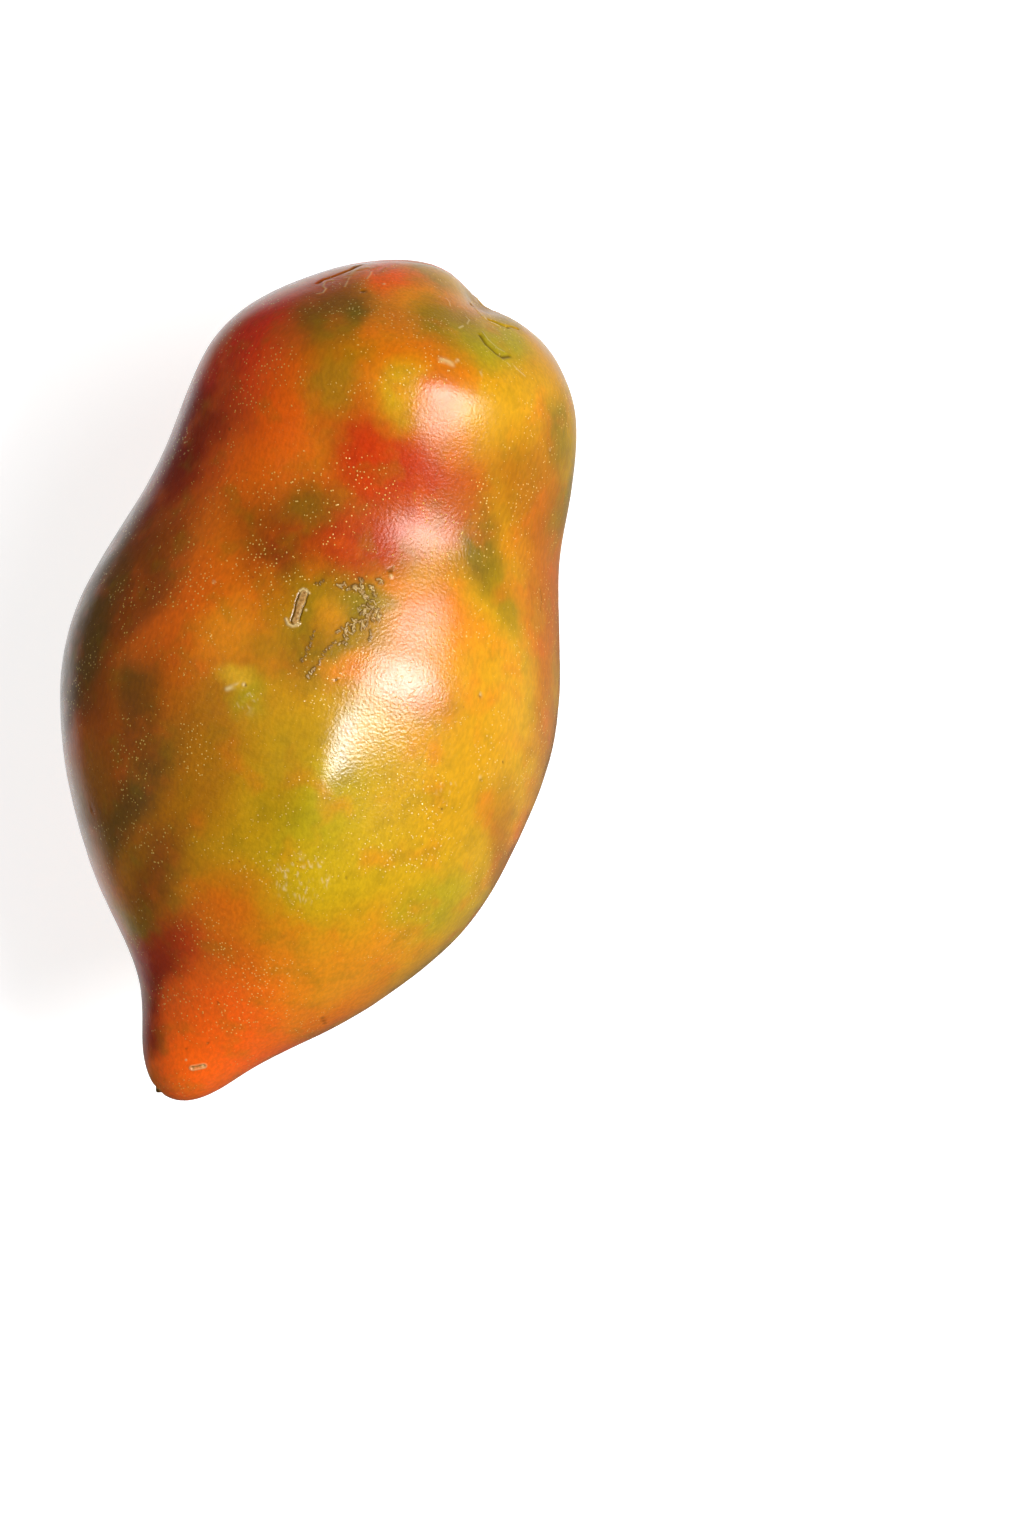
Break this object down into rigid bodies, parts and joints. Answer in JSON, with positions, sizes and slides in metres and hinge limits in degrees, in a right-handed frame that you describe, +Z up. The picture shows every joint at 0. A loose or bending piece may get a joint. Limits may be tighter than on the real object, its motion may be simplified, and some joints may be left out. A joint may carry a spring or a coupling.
{
  "type": "paste tomato",
  "caption": "Long paste tomato with a narrow waist and a pointed tip, ripening from green to red, lying on its back as picked.",
  "frame": {"origin": "under the centre of the fruit's box, on the surface that it lies on", "axes": "+Y runs along the fruit from its blossom tip to its stem end, +X across it, +Z up from the surface"},
  "size_m": [0.085, 0.1496, 0.0782],
  "materials": {
    "skin": "smooth glossy skin, mottled orange, red and olive green, with pale dots and corky scars"
  },
  "bodies": {
    "root": {"tomato": "skin"}
  },
  "joints": []
}
